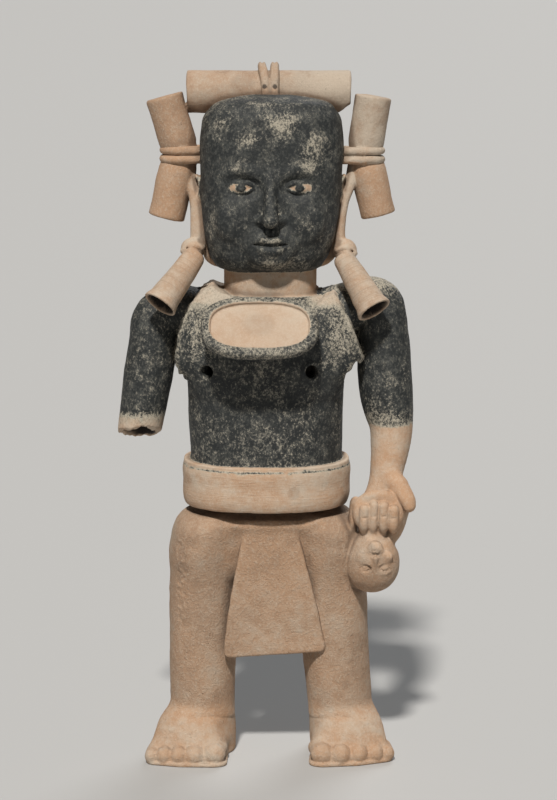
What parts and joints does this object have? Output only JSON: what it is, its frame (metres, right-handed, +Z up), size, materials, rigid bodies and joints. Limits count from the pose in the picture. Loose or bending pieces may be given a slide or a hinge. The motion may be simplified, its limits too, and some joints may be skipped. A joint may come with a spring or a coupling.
{
  "type": "standing figure",
  "caption": "Standing hollow-built earthenware figure with a masked head, tied side rolls, flared ear tubes, tilted oval breast ornament, wide belt, apron and a broken arm.",
  "frame": {"origin": "on the ground, under the middle of the figure's bounding box", "axes": "+Z up, from the soles to the knot on the roll over the head; -Y the way the figure faces; +X towards the side of its whole arm"},
  "size_m": [0.3796, 0.2226, 0.8977],
  "materials": {
    "fired_clay": "matte, worn black paint over the chest, arms and mask"
  },
  "bodies": {
    "root": {"figure": "fired_clay"}
  },
  "joints": []
}
